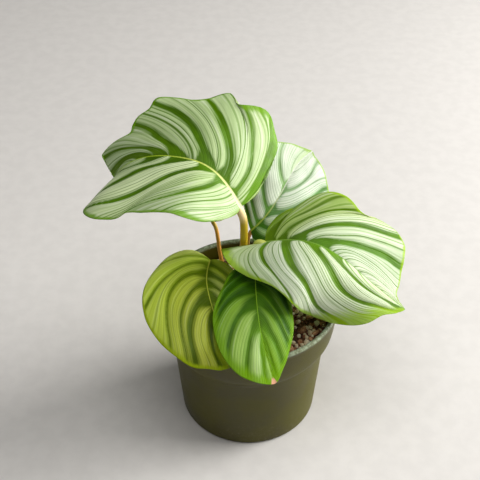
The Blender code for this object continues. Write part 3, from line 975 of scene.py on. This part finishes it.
def build_fibres(material, seeded, stems):
    """Thin curved strands lying on the soil."""
    parts = []
    for x, y in scattered(FIBRE_COUNT, 3.0, SOIL_RADIUS - 10, seeded, stems):
        heading = seeded.uniform(0, 2 * math.pi)
        turn = seeded.uniform(-0.35, 0.35)
        points = []
        for _ in range(FIBRE_POINTS):
            points.append((x, y, SOIL_TOP + soil_height(x, y) + 0.75))
            x += 1.0 * math.cos(heading)
            y += 1.0 * math.sin(heading)
            heading += turn + seeded.uniform(-0.25, 0.25)
        radii = np.full(FIBRE_POINTS, seeded.uniform(0.12, 0.22))
        radii[0] = radii[-1] = 0.05
        places = np.linspace(0, 1, FIBRE_POINTS)
        parts.append(tube_mesh("fibre", np.array(points), radii, places, 6))
    joined = bmesh.new()
    for part in parts:
        joined.from_mesh(part)
    data = bpy.data.meshes.new("soil_fibres")
    joined.to_mesh(data)
    joined.free()
    return new_piece("soil_fibres", data, [material])


# Materials
def linear(colour):
    """A shader colour from 8-bit sRGB."""
    shares = [value / 255 for value in colour]
    return tuple(s / 12.92 if s <= 0.04045 else ((s + 0.055) / 1.055) ** 2.4 for s in shares)


class Shade:
    """Short calls that make one material's nodes. Each gives the socket of its result."""

    def __init__(self, name, roughness=0.5, **settings):
        self.material = bpy.data.materials.new(name)
        self.material.use_nodes = True
        self.nodes = self.material.node_tree.nodes
        self.links = self.material.node_tree.links
        self.surface = self.nodes["Principled BSDF"].inputs
        self.surface["Roughness"].default_value = roughness
        for socket, value in settings.items():
            self.surface[socket.replace("_", " ")].default_value = value

    def put(self, socket, value):
        if isinstance(value, bpy.types.NodeSocket):
            self.links.new(value, socket)
        elif socket.type == "RGBA":
            socket.default_value = (*value, 1.0)
        else:
            socket.default_value = value

    def math(self, operation, *values):
        node = self.nodes.new("ShaderNodeMath")
        node.operation = operation
        for socket, value in zip(node.inputs, values):
            self.put(socket, value)
        return node.outputs[0]

    def ramp(self, value, low, high, from_low=0.0, to_high=1.0):
        """A smooth step from from_low to to_high as value goes from low to high."""
        node = self.nodes.new("ShaderNodeMapRange")
        node.interpolation_type = "SMOOTHSTEP"
        for socket, number in zip(node.inputs, (value, low, high, from_low, to_high)):
            self.put(socket, number)
        return node.outputs[0]

    def mix(self, share, first, second, blend="MIX"):
        """A mix of two colours, which are this node's sockets 6 and 7, and its output 2."""
        node = self.nodes.new("ShaderNodeMix")
        node.data_type = "RGBA"
        node.blend_type = blend
        self.put(node.inputs["Factor"], share)
        self.put(node.inputs[6], first)
        self.put(node.inputs[7], second)
        return node.outputs[2]

    def place(self, x, y, z=0.0):
        node = self.nodes.new("ShaderNodeCombineXYZ")
        for socket, value in zip(node.inputs, (x, y, z)):
            self.put(socket, value)
        return node.outputs[0]

    def uv(self, name):
        """Both numbers of a named UV map."""
        node = self.nodes.new("ShaderNodeUVMap")
        node.uv_map = name
        return self.parts(node.outputs[0])[:2]

    def parts(self, vector):
        node = self.nodes.new("ShaderNodeSeparateXYZ")
        self.links.new(vector, node.inputs[0])
        return list(node.outputs)

    def at(self):
        """The object's own coordinates, in metres."""
        return self.nodes.new("ShaderNodeTexCoord").outputs["Object"]

    def noise(self, vector, scale, detail, roughness=0.5):
        node = self.nodes.new("ShaderNodeTexNoise")
        values = {"Vector": vector, "Scale": scale, "Detail": detail, "Roughness": roughness}
        for socket, value in values.items():
            self.put(node.inputs[socket], value)
        return node.outputs["Fac"]

    def gradient(self, value, stops):
        """A colour read from rising stops of (place, 8-bit colour)."""
        node = self.nodes.new("ShaderNodeValToRGB")
        elements = node.color_ramp.elements
        elements.remove(elements[1])
        elements[0].position = stops[0][0]
        elements[0].color = (*linear(stops[0][1]), 1.0)
        for position, colour in stops[1:]:
            elements.new(position).color = (*linear(colour), 1.0)
        self.links.new(value, node.inputs[0])
        return node.outputs[0]

    def bump(self, height, distance, strength):
        node = self.nodes.new("ShaderNodeBump")
        self.put(node.inputs["Strength"], strength)
        self.put(node.inputs["Distance"], distance)
        self.put(node.inputs["Height"], height)
        self.links.new(node.outputs[0], self.surface["Normal"])

    def finish(self, colour, roughness=None):
        self.links.new(colour, self.surface["Base Color"])
        if roughness is not None:
            self.links.new(roughness, self.surface["Roughness"])
        return self.material


class LeafPattern:
    """What both faces of a blade share: its distances, and noise drawn out along the veins."""

    def __init__(self, shade):
        self.shade = shade
        self.vein, self.across = shade.uv("leaf")
        self.edge, self.course = shade.uv("stripe")
        self.away, self.margin = shade.uv("reach")
        self.streak = self.along_veins(110.0, 1.3, 0.0)
        self.wisp = self.along_veins(34.0, 1.5, 5.0)
        self.lines = shade.math("PINGPONG", shade.math("MULTIPLY", self.course, FINE_LINES), 0.5)

    def along_veins(self, fine, stretch, seed):
        across = self.shade.math("MULTIPLY", self.across, stretch)
        course = self.shade.math("MULTIPLY", self.course, fine)
        return self.shade.noise(self.shade.place(course, across, seed), 1.0, 3.0, 0.6)

    def by_course(self, colours):
        """A colour that changes from base to tip in its own way on each half."""
        stops = []
        for half, row in enumerate(colours):
            for number, colour in enumerate(row):
                share = number / (len(row) - 1)
                stops.append(((share + RIGHT_HALF * half) / (RIGHT_HALF + 1), colour))
        return self.shade.gradient(self.shade.math("DIVIDE", self.course, RIGHT_HALF + 1), stops)


def veinlets(pattern, look, length):
    """The fine dark lines of the stripe tables, as one mask."""
    shade, found = pattern.shade, 0.0
    for half in (0, 1):
        for *course, half_width in look["stripes"][half]:
            if np.max(half_width) > VEINLET:
                continue
            label = float(through(course, 0.5)) + RIGHT_HALF * half
            away = shade.math("ABSOLUTE", shade.math("SUBTRACT", pattern.course, label))
            width = half_width / length
            found = shade.math("MAXIMUM", found, shade.ramp(away, 1.5 * width, 0.4 * width))
    return found


def band_colour(pattern, pale, dark, fine):
    """A pale band: greener strokes along the veins, whiter strokes that are painted highlights of the
    quilting, and broken fine lines.
    """
    shade = pattern.shade
    soft = shade.mix(0.42, pale, dark)
    strokes = shade.ramp(pattern.along_veins(52.0, 0.7, 2.0), 0.46, 0.68, 0.0, 0.75 * fine)
    band = shade.mix(shade.ramp(pattern.wisp, 0.46, 0.7, 0.0, 0.6 * fine), pale, soft)
    band = shade.mix(strokes, band, soft)
    # Whiter strokes along the veins: painted highlights where the quilted surface would catch the light.
    painted_highlight = shade.ramp(pattern.along_veins(60.0, 0.9, 7.0), 0.5, 0.7, 0.0, 0.5 * fine)
    band = shade.mix(painted_highlight, band, shade.mix(0.45, pale, (1.0, 1.0, 0.95)))
    line = shade.ramp(pattern.lines, 0.2, 0.06)
    shown = shade.ramp(pattern.along_veins(20.0, 0.5, 9.0), 0.4, 0.6, 0.1 * fine, fine)
    return shade.mix(shade.math("MULTIPLY", line, shown), band, shade.mix(0.85, pale, dark))


def stripe_colour(pattern, pale, dark):
    """A dark stripe: deeper patches and faint lighter strokes."""
    shade = pattern.shade
    patches = shade.noise(shade.at(), 70.0, 2.0)
    deep = shade.mix(1.0, dark, (0.72, 0.72, 0.72), "MULTIPLY")
    stripe = shade.mix(shade.ramp(patches, 0.35, 0.65), deep, dark)
    return shade.mix(shade.ramp(pattern.streak, 0.55, 0.8, 0.0, 0.2), stripe, pale)


def with_margin(pattern, look, dark, colour):
    """The colour with the green margin over it."""
    shade = pattern.shade
    frayed = shade.math("ADD", pattern.margin, shade.math("MULTIPLY_ADD", pattern.wisp, 1.8, -0.9))
    green = shade.mix(shade.ramp(pattern.streak, 0.4, 0.7, 0.0, 0.3), linear(look["green"]), dark)
    return shade.mix(shade.ramp(frayed, 1.4, 0.5, 0.0, 0.86), colour, green)


def with_midrib(pattern, look, colour):
    """The colour with the light midrib over it, which narrows to the tip."""
    shade = pattern.shade
    base, tip = look["rib"]
    shrink = shade.math("POWER", shade.math("SUBTRACT", 1.0, pattern.vein), 3.0)
    width = shade.math("MULTIPLY_ADD", shrink, base - tip, tip)
    rib = shade.ramp(shade.math("DIVIDE", pattern.away, width), 1.2, 0.6, 0.0, 0.92)
    last = len(look["rib_colours"]) - 1
    along = [(number / last, tone) for number, tone in enumerate(look["rib_colours"])]
    return shade.mix(rib, colour, shade.gradient(pattern.vein, along))


def with_dry_tip(pattern, look, colour):
    shade = pattern.shade
    start, tone = look["dry_tip"]
    outer = shade.math("SUBTRACT", shade.math("ABSOLUTE", pattern.across), 1.0)
    dry = shade.math("MULTIPLY_ADD", outer, 0.09, pattern.vein)
    return shade.mix(shade.ramp(dry, start, start + 0.02), colour, linear(tone))


def leaf_top(name, look, length):
    """Pale bands between feathered dark stripes, fine veins, a green margin and a light midrib."""
    shade = Shade(f"{name}_top", IOR=1.45, Specular_IOR_Level=0.14)
    pattern = LeafPattern(shade)
    pale, dark = pattern.by_course(look["pale"]), pattern.by_course(look["dark"])
    feather = shade.math("MULTIPLY_ADD", pattern.streak, 4.0, -2.0)
    feather = shade.math("ADD", feather, shade.math("MULTIPLY_ADD", pattern.wisp, 3.2, -1.6))
    edge = shade.math("ADD", pattern.edge, feather)
    stripe = stripe_colour(pattern, pale, dark)
    soft = look["soft"]
    colour = shade.mix(shade.ramp(edge, -0.7 * soft, 0.5 * soft), stripe, shade.mix(0.4, dark, pale))
    band = band_colour(pattern, pale, dark, look["fine"])
    colour = shade.mix(shade.ramp(edge, 0.1, 1.5 * soft), colour, band)
    thin = shade.math("MULTIPLY", veinlets(pattern, look, length), 0.2 + 0.7 * look["fine"])
    colour = shade.mix(thin, colour, stripe)
    colour = with_midrib(pattern, look, with_margin(pattern, look, dark, colour))
    if "dry_tip" in look:
        colour = with_dry_tip(pattern, look, colour)
    grain = shade.noise(shade.at(), 1500.0, 2.0)
    line = shade.ramp(pattern.lines, 0.22, 0.05)
    shade.bump(shade.math("SUBTRACT", shade.math("MULTIPLY", grain, 0.5), line), 0.00012, 0.7)
    return shade.finish(colour, shade.ramp(shade.noise(shade.at(), 260.0, 3.0), 0.3, 0.7, 0.34, 0.48))


def leaf_underside(name):
    """Paler and greyer than the top, with the stripes showing faintly through."""
    shade = Shade(f"{name}_under", IOR=1.45, Specular_IOR_Level=0.3)
    pattern = LeafPattern(shade)
    base = shade.mix(shade.ramp(pattern.streak, 0.3, 0.7), linear((126, 152, 86)), linear((146, 168, 108)))
    colour = shade.mix(shade.ramp(pattern.edge, -1.0, 1.4), linear((100, 134, 58)), base)
    colour = shade.mix(shade.ramp(pattern.away, 2.0, 0.6, 0.0, 0.6), colour, linear((184, 196, 130)))
    shade.bump(shade.ramp(pattern.lines, 0.22, 0.05), 0.00012, 0.6)
    return shade.finish(colour, shade.ramp(pattern.streak, 0.3, 0.7, 0.5, 0.62))


def leaf_rim(name, look):
    """The thin, dry edge of the blade, in broken lengths."""
    shade = Shade(f"{name}_rim", roughness=0.55, Specular_IOR_Level=0.3)
    vein, across = shade.uv("leaf")
    along = shade.noise(shade.place(shade.math("MULTIPLY", vein, 30.0), across), 1.0, 3.0)
    return shade.finish(shade.mix(shade.ramp(along, 0.4, 0.65), linear(look["rim"]), linear(look["green"])))


def stalk_material(name):
    """Green at the foot, warm at the swollen joint, with fine lengthwise lines."""
    foot, below, joint, rib = (linear(colour) for colour in STALK_COLOURS[name])
    shade = Shade(f"{name}_stalk", roughness=0.45, IOR=1.45)
    place, around = shade.uv("stalk")
    lines = shade.noise(shade.place(shade.math("MULTIPLY", around, 24.0), place), 1.0, 2.0)
    blotch = shade.noise(shade.at(), 260.0, 3.0)
    shifted = shade.math("ADD", place, shade.math("MULTIPLY", shade.math("SUBTRACT", blotch, 0.5), 0.1))
    colour = shade.mix(shade.ramp(shifted, 0.1, 0.55), foot, below)
    colour = shade.mix(shade.ramp(shifted, 0.72, 0.84), colour, joint)
    colour = shade.mix(shade.ramp(shifted, 0.98, 1.12), colour, rib)
    darker = tuple(0.7 * value for value in below)
    colour = shade.mix(shade.ramp(lines, 0.5, 0.75, 0.0, 0.35), colour, darker)
    shade.bump(lines, 0.0001, 0.6)
    return shade.finish(colour)


def pot_material():
    """Olive-green moulded plastic: fine speckle, faint turned rings, and a paler lip top, partly scuffs and
    partly a painted highlight.
    """
    shade = Shade("pot_plastic", IOR=1.5, Specular_IOR_Level=0.3)
    at = shade.at()
    height = shade.parts(at)[2]
    speckle = shade.noise(at, 1400.0, 3.0, 0.7)
    cloud = shade.noise(at, 40.0, 3.0)
    colour = shade.mix(shade.ramp(cloud, 0.35, 0.65), linear((66, 62, 0)), linear((76, 73, 4)))
    colour = shade.mix(shade.ramp(speckle, 0.5, 0.72, 0.0, 0.2), colour, linear((92, 98, 36)))
    scuffs = shade.noise(at, 520.0, 4.0, 0.7)
    # The top of the lip is paler: partly scuffs, and partly a painted highlight where it faces the light.
    lip = shade.ramp(height, (POT_HEIGHT - 3.0) * MM, (POT_HEIGHT - 0.8) * MM)
    scuffs_and_lip_highlight = shade.math("MULTIPLY", lip, shade.ramp(scuffs, 0.4, 0.62, 0.35, 1.0))
    colour = shade.mix(scuffs_and_lip_highlight, colour, linear((150, 164, 136)))
    dust = shade.math("MULTIPLY", shade.ramp(height, 0.03, 0.0), shade.ramp(scuffs, 0.5, 0.8, 0.0, 0.5))
    colour = shade.mix(dust, colour, linear((120, 116, 92)))
    rings = shade.math("SINE", shade.math("MULTIPLY", height, 9000.0))
    shade.bump(shade.math("MULTIPLY_ADD", rings, 0.12, speckle), 0.00008, 0.6)
    return shade.finish(colour, shade.ramp(cloud, 0.3, 0.7, 0.42, 0.54))


def mix_material(name):
    """One part of the potting mix: matt, mottled and rough."""
    dark, light, scale = MIX_TONES[name]
    shade = Shade(f"mix_{name}", roughness=0.95)
    at = shade.at()
    mottle = shade.noise(at, scale, 4.0, 0.7)
    colour = shade.mix(shade.ramp(mottle, 0.35, 0.7), linear(dark), linear(light))
    shade.bump(shade.noise(at, 2.5 * scale, 4.0, 0.7), 0.0004, 0.9)
    return shade.finish(colour)


def perlite_material():
    """Cream grains with dull pits and brown stain."""
    shade = Shade("perlite_grain", roughness=0.85)
    at = shade.at()
    stain = shade.noise(at, 160.0, 3.0)
    pits = shade.noise(at, 1800.0, 3.0, 0.7)
    colour = shade.mix(shade.ramp(stain, 0.35, 0.75), linear((255, 246, 214)), linear((236, 206, 156)))
    colour = shade.mix(shade.ramp(pits, 0.55, 0.3, 0.0, 0.5), colour, linear((150, 120, 86)))
    shade.bump(pits, 0.0003, 0.8)
    return shade.finish(colour)


def build_leaves():
    for name, leaf in LEAVES.items():
        look = LOOKS[name]
        materials = [leaf_top(name, look, leaf["length"]), leaf_underside(name), leaf_rim(name, look)]
        blade = build_blade(name, leaf, look, materials)
        stalk = build_stalk(name, leaf, stalk_material(name))
        for piece in (blade, stalk):
            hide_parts(f"leaf_{name}")


def build_potting_mix():
    seeded = random.Random(SEED)
    stems = [leaf["stalk"][0] for leaf in LEAVES.values()]
    pieces = [
        build_soil(mix_material("bed")),
        build_grains("soil_crumbs", mix_material("crumb"), seeded, stems),
        build_grains("soil_bark", mix_material("bark"), seeded, stems),
        build_grains("perlite", perlite_material(), seeded, stems),
        build_fibres(mix_material("fibre"), seeded, stems),
    ]
    for piece in pieces:
        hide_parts("soil")


def area_light(name, place, size, power, colour):
    data = bpy.data.lights.new(name, "AREA")
    data.size = size
    data.energy = power
    data.color = colour
    light = bpy.data.objects.new(name, data)
    light.location = Vector(place)
    aim = Vector(LIGHT_TARGET) * MM - light.location
    light.rotation_euler = aim.to_track_quat("-Z", "Y").to_euler()
    bpy.context.scene.collection.objects.link(light)


def build_stage():
    mesh = bpy.data.meshes.new("floor")
    corners = ((-1, -1), (1, -1), (1, 1), (-1, 1))
    points = [(x * STAGE_REACH, y * STAGE_REACH, STAGE_HEIGHT) for x, y in corners]
    mesh.from_pydata(points, [], [(0, 1, 2, 3)])
    floor = bpy.data.objects.new("floor", mesh)
    bpy.context.scene.collection.objects.link(floor)
    shade = Shade("floor_matt", roughness=0.9)
    grain = shade.noise(shade.at(), 90.0, 3.0)
    colour = shade.mix(shade.ramp(grain, 0.3, 0.7), linear((214, 211, 207)), linear((219, 216, 212)))
    mesh.materials.append(shade.finish(colour))


def build_light():
    world = bpy.data.worlds.new("pale")
    bpy.context.scene.world = world
    world.use_nodes = True
    background = world.node_tree.nodes["Background"]
    background.inputs["Color"].default_value = SKY_COLOUR
    background.inputs["Strength"].default_value = SKY_STRENGTH
    for name, light in LIGHTS.items():
        area_light(name, **light)
    bpy.context.scene.view_settings.view_transform = "Standard"


def build_camera():
    data = bpy.data.cameras.new("camera")
    data.lens = CAMERA_LENS
    data.sensor_width = SENSOR_WIDTH
    camera = bpy.data.objects.new("camera", data)
    camera.location = Vector(CAMERA_PLACE) * MM
    camera.rotation_euler = (math.radians(90 - CAMERA_PITCH), 0, 0)
    bpy.context.scene.collection.objects.link(camera)
    bpy.context.scene.camera = camera


build_camera()
build_leaves()
pot = build_pot(pot_material())
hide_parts("pot")
build_potting_mix()
build_stage()
build_light()
